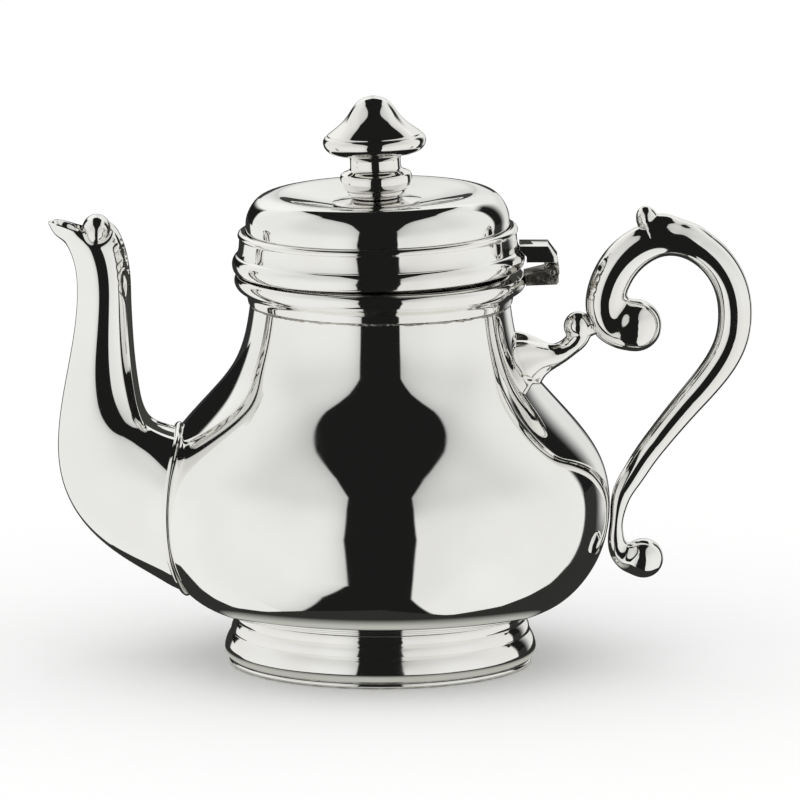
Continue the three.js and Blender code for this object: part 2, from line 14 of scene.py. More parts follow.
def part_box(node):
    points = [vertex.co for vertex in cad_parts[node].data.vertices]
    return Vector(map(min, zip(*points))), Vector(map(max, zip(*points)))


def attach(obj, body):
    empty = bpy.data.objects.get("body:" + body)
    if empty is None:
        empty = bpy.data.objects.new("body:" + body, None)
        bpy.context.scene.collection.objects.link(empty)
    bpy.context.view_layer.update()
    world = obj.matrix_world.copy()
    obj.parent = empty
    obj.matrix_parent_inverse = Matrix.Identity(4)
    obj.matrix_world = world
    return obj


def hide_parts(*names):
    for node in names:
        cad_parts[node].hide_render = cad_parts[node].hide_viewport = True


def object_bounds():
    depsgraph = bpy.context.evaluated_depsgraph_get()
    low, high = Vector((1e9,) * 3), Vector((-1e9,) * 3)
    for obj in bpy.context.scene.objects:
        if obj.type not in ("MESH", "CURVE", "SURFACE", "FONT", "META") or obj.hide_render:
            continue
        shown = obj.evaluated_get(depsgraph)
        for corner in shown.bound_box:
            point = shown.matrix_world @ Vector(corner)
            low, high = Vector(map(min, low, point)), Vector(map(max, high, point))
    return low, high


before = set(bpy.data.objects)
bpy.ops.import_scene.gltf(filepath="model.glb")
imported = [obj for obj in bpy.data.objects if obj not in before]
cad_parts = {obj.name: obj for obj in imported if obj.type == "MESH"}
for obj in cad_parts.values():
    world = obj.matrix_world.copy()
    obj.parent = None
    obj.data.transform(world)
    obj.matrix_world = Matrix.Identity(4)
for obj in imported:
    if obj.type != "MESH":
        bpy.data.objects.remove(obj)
cad_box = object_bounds()

MM = 0.001
foot_low, foot_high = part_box("foot_wire")
AXIS_X = (foot_low[0] + foot_high[0]) / 2       # the body's own axis, in metres

# ------------------------------------------------------------------ dimensions, mm
SHEET = 1.0                                     # wall of the body and of the lid
NECK_RADIUS = 38.9
RIM_HEIGHT = 117.9
RIM_CHAMFER = 0.3
RIM_SATIN_FACES = 79                            # faces of the rim's outer chamfer, front right, left satin
LID_SEAT = 118.3                                # underside of the lid's band
LID_TURN = (-43.7, LID_SEAT, 1.3)               # the lid's tilt: about (x, z), in degrees
LID_SHIFT = -0.5                                # the lid sits a little towards the spout
LID_CENTRE = 138.4                              # height of the lid's top under the finial
FINIAL_LEAN = 1.0                               # degrees, on top of the lid's tilt
STUD_HOLE = 2.12                                # radius of the hole round the finial's stud
SHELL_STEPS = 320                               # steps round the body and the lid


def tip(x, z, degrees):
    """Tilt about a line along Y through (x, z) that lifts the handle side."""
    turn = Matrix.Rotation(math.radians(-degrees), 4, "Y")
    return Matrix.Translation((x, 0, z)) @ turn @ Matrix.Translation((-x, 0, -z))


STILL = Matrix.Identity(4)
LID = Matrix.Translation((LID_SHIFT, 0, 0)) @ tip(*LID_TURN)
FINIAL = LID @ tip(0, LID_CENTRE, FINIAL_LEAN)


# ------------------------------------------------------------------ curves
def cubic(knots, values, at):
    """Natural cubic spline through values at knots, read at each entry of at."""
    t = np.array(knots, float)
    p = np.array(values, float).reshape(len(t), -1)
    count = len(t)
    gap = np.diff(t)
    matrix = np.zeros((count, count))
    right = np.zeros((count, p.shape[1]))
    matrix[0, 0] = matrix[-1, -1] = 1.0
    for i in range(1, count - 1):
        matrix[i, i - 1:i + 2] = gap[i - 1], 2 * (gap[i - 1] + gap[i]), gap[i]
        right[i] = 6 * ((p[i + 1] - p[i]) / gap[i] - (p[i] - p[i - 1]) / gap[i - 1])
    bend = np.linalg.solve(matrix, right)
    at = np.asarray(at, float)
    k = np.clip(np.searchsorted(t, at, side="right") - 1, 0, count - 2)
    d = (at - t[k])[:, None]
    h = gap[k][:, None]
    slope = (p[k + 1] - p[k]) / h - h * (2 * bend[k] + bend[k + 1]) / 6
    return p[k] + d * slope + bend[k] * d ** 2 / 2 + (bend[k + 1] - bend[k]) * d ** 3 / (6 * h)


def lengths(points):
    steps = np.linalg.norm(np.diff(np.array(points, float), axis=0), axis=1)
    return np.concatenate([[0.0], np.cumsum(steps)])


def spline(points, count):
    """Smooth curve through the points, sampled evenly."""
    knots = lengths(points)
    return [tuple(p) for p in cubic(knots, points, np.linspace(0, knots[-1], count))]


def fillet(points, radius, steps=4, ring=True):
    """Round every distinct corner of an outline."""
    out = []
    count = len(points)
    for i in range(count):
        here = np.array(points[i], float)
        if not ring and i in (0, count - 1):
            out.append(tuple(here))
            continue
        back = np.array(points[i - 1], float) - here
        ahead = np.array(points[(i + 1) % count], float) - here
        back_len, ahead_len = np.linalg.norm(back), np.linalg.norm(ahead)
        turn = math.pi - math.acos(np.clip(back @ ahead / (back_len * ahead_len), -1, 1))
        if turn < math.radians(16):
            out.append(tuple(here))
            continue
        cut = min(radius, 0.45 * back_len, 0.45 * ahead_len)
        start = here + back / back_len * cut
        end = here + ahead / ahead_len * cut
        for k in range(steps + 1):
            t = k / steps
            out.append(tuple((1 - t) ** 2 * start + 2 * t * (1 - t) * here + t ** 2 * end))
    return out


def offset(outline, distance):
    """The outline moved to the left of its direction."""
    p = np.array(outline, float)
    along = np.gradient(p, axis=0)
    along /= np.linalg.norm(along, axis=1)[:, None]
    moved = p + distance * np.stack([-along[:, 1], along[:, 0]], axis=1)
    moved[:, 0] = np.maximum(moved[:, 0], 0)
    return [tuple(q) for q in moved]


# ------------------------------------------------------------------ mesh helpers
def to_world(p):
    return (p[0] * MM + AXIS_X, p[1] * MM, p[2] * MM)


def new_object(name, verts, faces):
    mesh = bpy.data.meshes.new(name)
    mesh.from_pydata([to_world(v) for v in verts], [], faces)
    obj = bpy.data.objects.new(name, mesh)
    bpy.context.scene.collection.objects.link(obj)
    return obj


def tidy(obj, sharp=34.0):
    """Faces outwards, smooth, with creases only where the surface really turns."""
    work = bmesh.new()
    work.from_mesh(obj.data)
    bmesh.ops.recalc_face_normals(work, faces=work.faces)
    work.to_mesh(obj.data)
    work.free()
    obj.data.polygons.foreach_set("use_smooth", [True] * len(obj.data.polygons))
    obj.data.set_sharp_from_angle(angle=math.radians(sharp))
    return obj


def finish_piece(obj, material, body, nodes=(), sharp=34.0):
    tidy(obj, sharp)
    if not obj.data.materials:
        obj.data.materials.append(material)
    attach(obj, body)
    if nodes:
        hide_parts(*nodes)
    return obj


def lathe(name, outline, steps=256, place=STILL, ring=True, wobble=None):
    """Revolve an outline of (radius, height). wobble moves a point by (angle, index) -> (radius, height)."""
    verts, rings, faces = [], [], []
    for i, (radius, height) in enumerate(outline):
        if radius < 1e-6:
            rings.append([len(verts)] * steps)
            verts.append(place @ Vector((0, 0, height)))
            continue
        rings.append([len(verts) + j for j in range(steps)])
        for j in range(steps):
            angle = 2 * math.pi * j / steps
            dr, dz = wobble(angle, i) if wobble else (0, 0)
            r = radius + dr
            verts.append(place @ Vector((r * math.cos(angle), r * math.sin(angle), height + dz)))
    spans = len(outline) if ring else len(outline) - 1
    for i in range(spans):
        a, b = rings[i], rings[(i + 1) % len(outline)]
        for j in range(steps):
            k = (j + 1) % steps
            corners = [a[j], a[k], b[k], b[j]]
            face = [v for n, v in enumerate(corners) if v != corners[n - 1]]
            if len(face) > 2:
                faces.append(face)
    return new_object(name, verts, faces)


def skin(name, rings, joined=False):
    """Quads between equal rings of points. The last ring is joined to the first, or each end gets a fan."""
    around = len(rings[0])
    verts = [p for ring in rings for p in ring]
    faces = []
    for i in range(len(rings) if joined else len(rings) - 1):
        a, b = i * around, (i + 1) % len(rings) * around
        for j in range(around):
            k = (j + 1) % around
            faces.append([a + j, a + k, b + k, b + j])
    if not joined:
        for row in (0, len(rings) - 1):
            hub = len(verts)
            verts.append(np.mean(np.array(rings[row]), axis=0))
            faces += [[hub, row * around + j, row * around + (j + 1) % around] for j in range(around)]
    return new_object(name, verts, faces)


def round_power(angle, power):
    """Cosine and sine of a superellipse, fuller than a circle when power is above 2."""
    c, s = math.cos(angle), math.sin(angle)
    return (math.copysign(abs(c) ** (2 / power), c), math.copysign(abs(s) ** (2 / power), s))


def sweep(name, stations, count, around, power=2.0, shape=None):
    """Oval section along a curve in the middle plane. Stations are (x, z, half thickness, half width)."""
    knots = lengths([(s[0], s[1]) for s in stations])
    at = np.linspace(0, knots[-1], count)
    rows = cubic(knots, stations, at)
    along = np.gradient(rows[:, :2], axis=0)
    along /= np.linalg.norm(along, axis=1)[:, None]
    rings = []
    for i in range(count):
        x, z, thick, wide = rows[i]
        thick, wide = max(thick, 0.05), max(wide, 0.05)
        tx, tz = along[i]
        ring = []
        for j in range(around):
            angle = 2 * math.pi * j / around
            c, s = round_power(angle, power)
            grow = shape(at[i] / knots[-1], angle) if shape else 0.0
            a = thick * c + grow * math.cos(angle)
            b = wide * s + grow * math.sin(angle)
            ring.append((x - tz * a, b, z + tx * a))
        rings.append(ring)
    return skin(name, rings)


def egg(name, centre, radii, turn=0.0, around=64, rows=40, shape=None):
    """A shaped ball: shape(direction) scales each point."""
    cos_t, sin_t = math.cos(turn), math.sin(turn)
    rings = []
    for i in range(1, rows):
        polar = math.pi * i / rows
        ring = []
        for j in range(around):
            angle = 2 * math.pi * j / around
            d = (math.sin(polar) * math.cos(angle), math.sin(polar) * math.sin(angle), math.cos(polar))
            k = shape(d) if shape else 1.0
            x, y, z = d[0] * radii[0] * k, d[1] * radii[1] * k, d[2] * radii[2] * k
            ring.append((centre[0] + x * cos_t + z * sin_t, centre[1] + y, centre[2] - x * sin_t + z * cos_t))
        rings.append(ring)
    return skin(name, rings)


def combine(target, other, operation="UNION"):
    """Boolean of two closed meshes; the other object is used up."""
    for obj in (target, other):
        tidy(obj)
    cut = target.modifiers.new("cut", "BOOLEAN")
    cut.operation = operation
    cut.solver = "EXACT"
    cut.object = other
    bake(target)
    bpy.data.objects.remove(other, do_unlink=True)
    return target


def bake(obj):
    """Apply all modifiers."""
    bpy.context.view_layer.update()
    mesh = bpy.data.meshes.new_from_object(obj.evaluated_get(bpy.context.evaluated_depsgraph_get()))
    obj.modifiers.clear()
    old = obj.data
    obj.data = mesh
    bpy.data.meshes.remove(old)
    return obj


def soften(obj, voxel, rounds, spots=(), spot_rounds=0):
    """Remesh joined castings evenly and relax them, so that they run into each other. Each spot is a centre,
    an inner and an outer radius within which the relaxing goes on for longer."""
    remesh = obj.modifiers.new("remesh", "REMESH")
    remesh.mode = "VOXEL"
    remesh.voxel_size = voxel * MM
    bake(obj)
    relax = obj.modifiers.new("relax", "SMOOTH")
    relax.iterations = rounds
    if spots:
        where = np.empty(len(obj.data.vertices) * 3)
        obj.data.vertices.foreach_get("co", where)
        where = where.reshape(-1, 3)
        weight = np.zeros(len(where))
        for centre, inner, outer in spots:
            away = np.linalg.norm(where - np.array(to_world(centre)), axis=1) / MM
            weight = np.maximum(weight, np.clip((outer - away) / (outer - inner), 0, 1))
        group = obj.vertex_groups.new(name="spots")
        levels = 10
        for step in range(1, levels + 1):
            chosen = np.nonzero(np.round(weight * levels) == step)[0]
            group.add([int(v) for v in chosen], step / levels, "REPLACE")
        blend = obj.modifiers.new("blend", "SMOOTH")
        blend.iterations = spot_rounds
        blend.vertex_group = group.name
    bake(obj)
    obj.vertex_groups.clear()
    return obj


def bevelled(node, name, width, material, body):
    """A CAD piece with its flats merged and its edges rounded."""
    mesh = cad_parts[node].data.copy()
    mesh.materials.clear()
    work = bmesh.new()
    work.from_mesh(mesh)
    bmesh.ops.remove_doubles(work, verts=work.verts, dist=1e-6)
    bmesh.ops.dissolve_limit(work, angle_limit=math.radians(3), verts=work.verts, edges=work.edges)
    edges = [e for e in work.edges if len(e.link_faces) == 2 and e.calc_face_angle(0) > math.radians(30)]
    bmesh.ops.bevel(work, geom=edges, offset=width * MM, segments=3, profile=0.5, affect="EDGES",
                    clamp_overlap=True)
    work.to_mesh(mesh)
    work.free()
    obj = bpy.data.objects.new(name, mesh)
    bpy.context.scene.collection.objects.link(obj)
    return finish_piece(obj, material, body, [node], sharp=26)


# ------------------------------------------------------------------ materials
def nodes_of(material):
    material.use_nodes = True
    tree = material.node_tree
    return tree.nodes, tree.links, tree.nodes["Principled BSDF"]


def ramp(nodes, links, value, low, high, at_low, at_high):
    """Map a value from low..high to at_low..at_high with a smooth step."""
    node = nodes.new("ShaderNodeMapRange")
    node.interpolation_type = "SMOOTHSTEP"
    for name, number in (("From Min", low), ("From Max", high), ("To Min", at_low), ("To Max", at_high)):
        node.inputs[name].default_value = number
    links.new(value, node.inputs["Value"])
    return node.outputs["Result"]


def noise_texture(nodes, links, where, scale, detail=3.0, rough=0.5, stretch=(1, 1, 1)):
    mapping = nodes.new("ShaderNodeMapping")
    mapping.inputs["Scale"].default_value = stretch
    links.new(where, mapping.inputs["Vector"])
    texture = nodes.new("ShaderNodeTexNoise")
    texture.inputs["Scale"].default_value = scale
    texture.inputs["Detail"].default_value = detail
    texture.inputs["Roughness"].default_value = rough
    links.new(mapping.outputs["Vector"], texture.inputs["Vector"])
    return texture.outputs["Fac"]


def mix_colour(nodes, links, share, first, second):
    node = nodes.new("ShaderNodeMix")
    node.data_type = "RGBA"
    links.new(share, node.inputs["Factor"])
    for socket, value in ((node.inputs[6], first), (node.inputs[7], second)):
        if isinstance(value, tuple):
            socket.default_value = (*value, 1.0)
        else:
            links.new(value, socket)
    return node.outputs[2]


def metal(name, bright, warm, rough, ripple, scratches=(1, 1, 1), recess_shade=0.0, recess_shade_reach=1.2, grain=0.0):
    """Polished metal: slow colour drift, wiping marks and smears in the roughness, a faint ripple in the
    surface, and painted shade where the surface folds into a recess: ambient occlusion darkens the colour
    there and raises the roughness."""
    material = bpy.data.materials.new(name)
    nodes, links, shader = nodes_of(material)
    where = nodes.new("ShaderNodeTexCoord").outputs["Object"]
    drift = ramp(nodes, links, noise_texture(nodes, links, where, 38, 2), 0.35, 0.65, 0.0, 1.0)
    colour = mix_colour(nodes, links, drift, bright, warm)
    smear = ramp(nodes, links, noise_texture(nodes, links, where, 70, 4, 0.6), 0.45, 0.75, rough, rough * 2.2)
    marks = noise_texture(nodes, links, where, 900, 4, 0.65, scratches)
    fine = ramp(nodes, links, marks, 0.52, 0.8, 0.0, rough * 1.4)
    add = nodes.new("ShaderNodeMath")
    add.operation = "ADD"
    links.new(smear, add.inputs[0])
    links.new(fine, add.inputs[1])
    roughness = add.outputs[0]
    if recess_shade > 0:
        # painted shade: ambient occlusion darkens the colour in recesses toward near black, and the roughness
        # rises there
        hollow = nodes.new("ShaderNodeAmbientOcclusion")
        hollow.samples = 6
        hollow.inputs["Distance"].default_value = recess_shade_reach * MM
        cloud = ramp(nodes, links, noise_texture(nodes, links, where, 320, 4), 0.3, 0.7, 0.55, 1.0)
        dark = ramp(nodes, links, hollow.outputs["AO"], 0.78, 0.3, 0.0, recess_shade)
        share = nodes.new("ShaderNodeMath")
        share.operation = "MULTIPLY"
        links.new(dark, share.inputs[0])
        links.new(cloud, share.inputs[1])
        colour = mix_colour(nodes, links, share.outputs[0], colour, (0.10, 0.09, 0.075))
        more = nodes.new("ShaderNodeMath")
        more.operation = "MULTIPLY_ADD"
        more.inputs[1].default_value = 0.3
        links.new(share.outputs[0], more.inputs[0])
        links.new(roughness, more.inputs[2])
        roughness = more.outputs[0]
    links.new(colour, shader.inputs["Base Color"])
    links.new(roughness, shader.inputs["Roughness"])
    shader.inputs["Metallic"].default_value = 1.0
    wave = nodes.new("ShaderNodeBump")
    wave.inputs["Strength"].default_value = 1.0
    wave.inputs["Distance"].default_value = ripple * MM
    links.new(noise_texture(nodes, links, where, 55, 1.5), wave.inputs["Height"])
    normal = wave.outputs["Normal"]
    if grain > 0:
        pits = nodes.new("ShaderNodeBump")
        pits.inputs["Distance"].default_value = grain * MM
        links.new(noise_texture(nodes, links, where, 700, 5, 0.6), pits.inputs["Height"])
        links.new(normal, pits.inputs["Normal"])
        normal = pits.outputs["Normal"]
    links.new(normal, shader.inputs["Normal"])
    return material


SILVER = metal("polished_silver", (0.93, 0.928, 0.91), (0.90, 0.895, 0.87), rough=0.028, ripple=0.012,
               scratches=(1, 1, 6))
# TRIM, CAST, NICKEL and SOLDER get painted shade: their colour darkens where ambient occlusion finds a recess
TRIM = metal("silver_trim", (0.92, 0.916, 0.895), (0.88, 0.87, 0.835), rough=0.035, ripple=0.012,
             scratches=(1, 1, 6), recess_shade=0.85, recess_shade_reach=1.4)
CAST = metal("cast_silver", (0.92, 0.916, 0.895), (0.885, 0.875, 0.84), rough=0.035, ripple=0.02,
             recess_shade=0.8, recess_shade_reach=1.6)
INSIDE = metal("satin_inside", (0.82, 0.80, 0.76), (0.74, 0.72, 0.67), rough=0.16, ripple=0.02,
               scratches=(1, 1, 12))
NICKEL = metal("dull_nickel", (0.50, 0.48, 0.43), (0.30, 0.28, 0.24), rough=0.20, ripple=0.03,
               scratches=(1, 6, 1), recess_shade=0.9, recess_shade_reach=2.0, grain=0.10)
SOLDER = metal("solder", (0.52, 0.50, 0.46), (0.28, 0.27, 0.24), rough=0.22, ripple=0.05,
               recess_shade=0.9, recess_shade_reach=1.0, grain=0.12)


def line_inside(obj, first):
    """Polished outside and satin inside: a lathe makes the inside last, from face number first on."""
    obj.data.materials.append(SILVER)
    obj.data.materials.append(INSIDE)
    for polygon in obj.data.polygons[first:]:
        polygon.material_index = 1


# ------------------------------------------------------------------ body
BODY_CURVE = [
    (47, 16.5), (54, 19.0), (61.2, 25.2), (66.6, 34.5), (68.9, 46.7), (66.6, 60.8), (60.2, 71.0),
    (50.8, 81.7), (43.8, 91), (40.4, 100.5), (NECK_RADIUS, 110),
]
body_wall = spline(BODY_CURVE, 120)
neck_wall = [(NECK_RADIUS, 114), (NECK_RADIUS, RIM_HEIGHT)]
body_outer = [(0, 15.6), (15, 15.7), (30, 15.9), (40, 16.0), *body_wall, *neck_wall]


def body_radius(height):
    """Outside radius of the body wall at each height."""
    wall = np.array(body_wall + neck_wall)
    return np.interp(height, wall[:, 1], wall[:, 0])


def make_body():
    """Hollow shell, open at the neck. Its rim is chamfered, and the satin inside begins on the rim."""
    outer = [*body_outer[:-1], (NECK_RADIUS, RIM_HEIGHT - RIM_CHAMFER)]
    rim = [(NECK_RADIUS - RIM_CHAMFER, RIM_HEIGHT), (NECK_RADIUS - SHEET + RIM_CHAMFER, RIM_HEIGHT)]
    inner = offset(body_outer, SHEET)
    inner[0] = (0, inner[0][1])
    inner[-1] = (NECK_RADIUS - SHEET, RIM_HEIGHT - RIM_CHAMFER)
    body = lathe("body", [*outer, *rim, *inner[::-1]], SHELL_STEPS, ring=False)
    line_inside(body, len(outer) * SHELL_STEPS - RIM_SATIN_FACES)
    return body


def pierce(body):
    """Round strainer holes through the wall behind the spout."""
    rows, pitch, radius, height, sides = 2, 6.0, 1.7, 46.0, 24
    drill_ends = (-72.0, -58.0)
    drills = []
    for row in range(-rows, rows + 1):
        across = 2 * rows + 1 - abs(row)
        for i in range(across):
            y = (i - (across - 1) / 2) * pitch
            z = height + row * pitch * math.sin(math.pi / 3)
            rings = []
            for x in drill_ends:
                rings.append([
                    (x, y + radius * math.cos(a), z + radius * math.sin(a))
                    for a in np.linspace(0, 2 * math.pi, sides, endpoint=False)
                ])
            drills.append(skin(f"drill_{row}_{i}", rings))
    for drill in drills[1:]:
        work = bmesh.new()
        work.from_mesh(drills[0].data)
        work.from_mesh(drill.data)
        work.to_mesh(drills[0].data)
        work.free()
        bpy.data.objects.remove(drill, do_unlink=True)
    return combine(body, drills[0], "DIFFERENCE")


body = pierce(make_body())
finish_piece(body, SILVER, "pot", ["body_base", "body_belly", "body_shoulder"], sharp=30)


# ------------------------------------------------------------------ foot
def rib(start, end, swell, steps=14):
    """Points of a convex rib between two grooves, the end left out."""
    (r0, z0), (r1, z1) = start, end
    length = math.hypot(r1 - r0, z1 - z0)
    out = ((z1 - z0) / length, -(r1 - r0) / length)
    points = []
    for k in range(steps):
        t = k / steps
        lift = swell * math.sin(math.pi * t) ** 0.8
        points.append((r0 + (r1 - r0) * t + out[0] * lift, z0 + (z1 - z0) * t + out[1] * lift))
    return points


FOOT_GROOVES = [(45.3, 1.9), (46.75, 5.0), (44.9, 9.6), (43.75, 13.1), (43.3, 15.6)]
FOOT_SWELL = [0.5, 0.32, 0.26, 0.2]
foot_outer = []
for lower, upper, swell in zip(FOOT_GROOVES, FOOT_GROOVES[1:], FOOT_SWELL):
    foot_outer += rib(lower, upper, swell)
foot_section = [*foot_outer, FOOT_GROOVES[-1], (40.0, 15.55), (40.0, 14.4), (42.2, 14.2),
                (42.5, 12.0), (44.2, 8.0), (45.2, 5.0), (44.0, 1.9)]
foot = lathe("foot", fillet(foot_section, 0.12, 3))
finish_piece(foot, TRIM, "pot", ["foot_ring"], sharp=50)

wire_section = [(43.4, 0.0), (45.1, 0.0), (45.6, 0.5), (45.6, 1.0), (45.3, 1.6), (43.4, 1.6)]
foot_wire = lathe("foot_base_wire", fillet(wire_section, 0.35, 4))
finish_piece(foot_wire, TRIM, "pot", ["foot_wire"])

# ------------------------------------------------------------------ neck collar and its solder seam
collar_curve = spline([
    (39.55, 109.4), (39.85, 110.8), (40.3, 112.0), (41.4, 112.75), (42.6, 113.55), (43.4, 114.7),
    (43.75, 116.0), (43.5, 117.2), (43.0, 117.85),
], 46)
collar_section = [(38.95, 109.4), *collar_curve, (38.95, 117.85)]
collar = lathe("neck_collar_ring", fillet(collar_section, 0.2, 3))
finish_piece(collar, TRIM, "pot", ["neck_collar"])


def ragged(angle, index):
    """Uneven edge of a hand-run solder seam."""
    p = Vector((math.cos(angle) * 9, math.sin(angle) * 9, index * 0.35))
    q = Vector((math.cos(angle) * 31, math.sin(angle) * 31, 4 + index * 0.6))
    swing = noise.noise(p) * 0.35 + noise.noise(q) * 0.28
    return (noise.noise(q + Vector((7, 3, 1))) * 0.16, swing)


SEAM_RADIUS, SEAM_HEIGHT = 38.7, 109.05
seam_section = [(SEAM_RADIUS + 0.62 * math.cos(a), SEAM_HEIGHT + 0.5 * math.sin(a))
                for a in np.linspace(0, 2 * math.pi, 12, endpoint=False)]
seam = lathe("collar_solder_seam", seam_section, steps=900, wobble=ragged)
finish_piece(seam, SOLDER, "pot", sharp=60)

# ------------------------------------------------------------------ spout
# inner edge x, z, outer edge x, z, half width
SPOUT = np.array([
    (-46.0, 69.0, -46.0, 27.0, 29.0),
    (-58.0, 70.3, -57.5, 21.6, 28.2),
    (-65.5, 72.0, -67.0, 25.8, 24.6),
    (-69.6, 74.4, -79.5, 33.4, 19.0),
    (-71.6, 78.2, -89.0, 42.2, 14.4),
    (-72.9, 84.0, -95.2, 54.0, 11.2),
    (-74.0, 92.0, -96.7, 69.0, 9.2),
    (-74.8, 102.0, -94.2, 87.0, 7.9),
    (-75.3, 112.0, -91.3, 105.0, 7.2),
    (-75.8, 119.5, -91.1, 117.4, 6.8),
    (-76.9, 125.2, -92.6, 123.8, 6.7),
    (-78.2, 129.0, -94.9, 127.8, 6.8),
    (-79.8, 131.9, -97.6, 130.1, 6.8),
    (-81.2, 133.4, -99.5, 133.4, 6.7),
])
HOOD_CENTRE = (-85.0, 0.0, 130.8)
HOOD_RADII = (4.65, 7.4, 5.1)
LIP_DIP = 1.9                                   # how far the sides of the mouth dip below its ends
SPOUT_KNOTS = lengths([((s[0] + s[2]) / 2, (s[1] + s[3]) / 2) for s in SPOUT])
HOLLOW_FROM, DIP_FROM = SPOUT_KNOTS[8], SPOUT_KNOTS[9]
SPOUT_POWER = 2.12                              # its section is a little fuller than an oval


def bump(value, middle, width):
    """Bell-shaped weight, 1 where the value is at the middle."""
    return np.exp(-((value - middle) / width) ** 2)


def spout_points(along, angles, shrink=0.0):
    """Surface points of the spout for arrays of distance along it and of angle round it. The plain inside
    surface lies shrink inwards; the seams and grooves are on the outside only."""
    rows = cubic(SPOUT_KNOTS, SPOUT, along)
    inner, outer, wide = rows[:, 0:2], rows[:, 2:4], rows[:, 4] - shrink
    across = inner - outer
    length = np.linalg.norm(across, axis=1)
    across /= length[:, None]
    middle = (inner + outer) / 2
    c, s = np.cos(angles), np.sin(angles)
    cc = np.sign(c) * np.abs(c) ** (2 / SPOUT_POWER)
    ss = np.sign(s) * np.abs(s) ** (2 / SPOUT_POWER)
    near_top = np.clip((along - DIP_FROM) / (SPOUT_KNOTS[-1] - DIP_FROM), 0, 1)
    reach = (length / 2 - shrink) * cc
    y = wide * ss
    if shrink == 0.0:
        # a raised seam down the handle side, shallow hollows beside it under the hood, a fine seam outside
        fade = np.clip((along - 6) / 14, 0, 1)
        reach = reach + 0.75 * bump(y, 0, 1.15) * fade * (c > 0)
        hollows = bump(along - HOLLOW_FROM, 4.5, 5.0) * bump(np.abs(y), 3.6, 1.15)
        reach = reach - 0.6 * hollows * (c > 0)
        reach = reach + 0.2 * bump(y, 0, 0.6) * fade * (c < 0)
    x = middle[:, 0] + across[:, 0] * reach
    z = middle[:, 1] + across[:, 1] * reach
    z = z - LIP_DIP * near_top ** 2 * np.abs(s) ** 1.6 * np.clip(1 + 1.4 * c, 0, 2.2)
    points = np.stack([x, y, z], axis=1)
    if shrink == 0.0:
        # a groove follows the edge of the hood
        away = (points - np.array(HOOD_CENTRE)) / np.array(HOOD_RADII)
        far = (np.linalg.norm(away, axis=1) - 1.0) * HOOD_RADII[0]
        groove = 0.5 * bump(far, 0.25, 0.4) * (np.abs(s) > 0.3)
        points[:, 1] -= groove * np.sign(y)
    return points


def spout_start(angles, sink):
    """Distance along the spout at which it leaves the body's wall, for each angle round it."""
    samples = np.linspace(0, SPOUT_KNOTS[5], 400)
    starts = []
    for angle in angles:
        p = spout_points(samples, np.full(len(samples), angle))
        outside = np.hypot(p[:, 0], p[:, 1]) - body_radius(p[:, 2]) + sink
        last_in = np.nonzero(outside < 0)[0][-1]
        a, b = outside[last_in], outside[last_in + 1]
        starts.append(samples[last_in] + (samples[1] - samples[0]) * (-a / (b - a)))
    return np.array(starts)


def make_spout():
    """Thin tube, sunk into the body's wall, with finer rows towards the lip."""
    around, rows, tip_rows, tip_from = 240, 130, 90, 0.86
    wall, sink, edge_rise = 0.9, 0.45, 0.3
    even = np.linspace(0, 2 * math.pi, around, endpoint=False)
    angles = even - 0.16 * np.sin(2 * even)
    starts = spout_start(angles, sink)
    end = SPOUT_KNOTS[-1]
    outside, inside = [], []
    shares = [*np.linspace(0, tip_from, rows, endpoint=False), *np.linspace(tip_from, 1, tip_rows)]
    for share in shares:
        along = starts + (end - starts) * share
        outside.append(spout_points(along, angles))
        inside.append(spout_points(along, angles, wall))
    edge = (outside[-1] + inside[-1]) / 2 + np.array([0, 0, edge_rise])
    return skin("spout_tube", [*outside, edge, *inside[::-1]], joined=True)


def make_hood():
    """Ball-shaped hood over the handle side of the mouth, its face towards the lip a little flattened."""
    def shape(d):
        flat = max(0.0, -d[0] * 0.94 + d[2] * 0.2)
        return 1.0 - 0.05 * flat ** 3

    return egg("spout_hood_shell", HOOD_CENTRE, HOOD_RADII, 0.0, 96, 64, shape)


def make_bead():
    """Rolled bead round the joint between spout and body."""
    count, around = 320, 14
    radius, uneven, top_swell = 1.2, 0.14, 0.35
    angles = np.linspace(0, 2 * math.pi, count, endpoint=False)
    path = spout_points(spout_start(angles, 0.0), angles)
    ahead, behind = np.roll(path, -1, axis=0), np.roll(path, 1, axis=0)
    rings = []
    for i in range(count):
        tangent = ahead[i] - behind[i]
        tangent /= np.linalg.norm(tangent)
        outward = np.array([path[i][0], path[i][1], 0.0])
        outward -= tangent * (outward @ tangent)
        outward /= np.linalg.norm(outward)
        side = np.cross(tangent, outward)
        a = angles[i]
        size = radius + uneven * noise.noise(Vector((math.cos(a) * 6, math.sin(a) * 6, 0.5)))
        size += top_swell * math.exp(-(math.sin(a / 2) / 0.12) ** 2)
        rings.append([
            path[i] + size * (math.cos(b) * outward * 0.95 + math.sin(b) * side * 1.1)
            for b in np.linspace(0, 2 * math.pi, around, endpoint=False)
        ])
    return skin("spout_joint_ring", rings, joined=True)


spout = make_spout()
finish_piece(spout, SILVER, "pot", ["spout_half_near", "spout_half_far"], sharp=60)
finish_piece(make_hood(), TRIM, "pot", ["spout_hood"], sharp=60)
finish_piece(make_bead(), TRIM, "pot", ["spout_joint_bead"], sharp=60)

